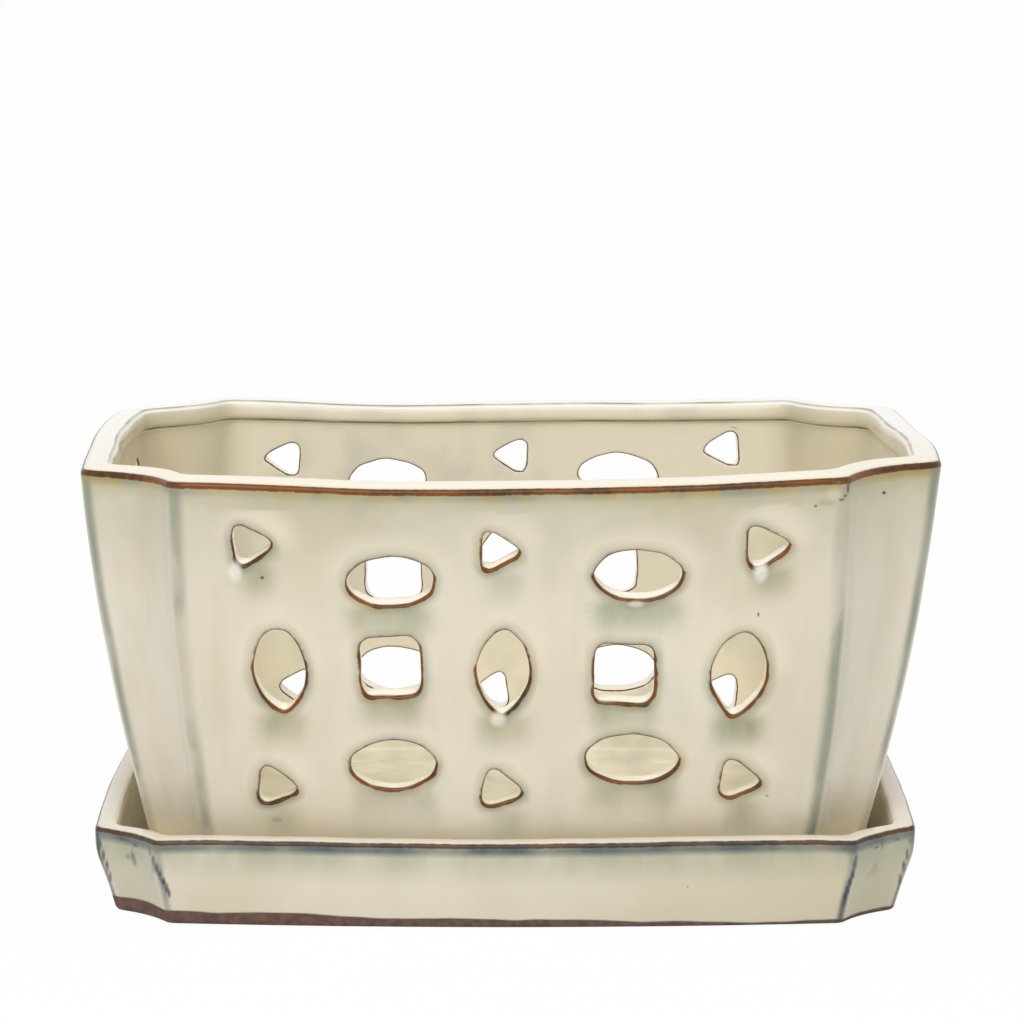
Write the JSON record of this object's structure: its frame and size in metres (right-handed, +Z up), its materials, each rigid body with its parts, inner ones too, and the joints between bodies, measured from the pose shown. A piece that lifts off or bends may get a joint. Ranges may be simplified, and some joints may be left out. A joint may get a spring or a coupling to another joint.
{
  "type": "orchid pot with saucer",
  "caption": "Rectangular glazed stoneware orchid pot with dished corners and cut slots through its walls, standing on a matching saucer.",
  "frame": {"origin": "middle of the saucer's underside, on the surface that it stands on", "axes": "+Z up, X along the pot's long walls, Y across them, the front faces -Y"},
  "size_m": [0.2797, 0.1778, 0.148],
  "materials": {
    "pot_glaze": "glossy cream glaze that breaks to brown on its edges",
    "saucer_glaze": "glossy cream glaze over a bare red-brown clay foot"
  },
  "bodies": {
    "saucer": {"saucer": "saucer_glaze"},
    "pot": {"pot": "pot_glaze"}
  },
  "joints": [
    {"name": "pot_lift", "type": "slide", "parent": "saucer", "child": "pot", "axis": [0, 0, 1], "range_m": [0, 0.06]}
  ]
}
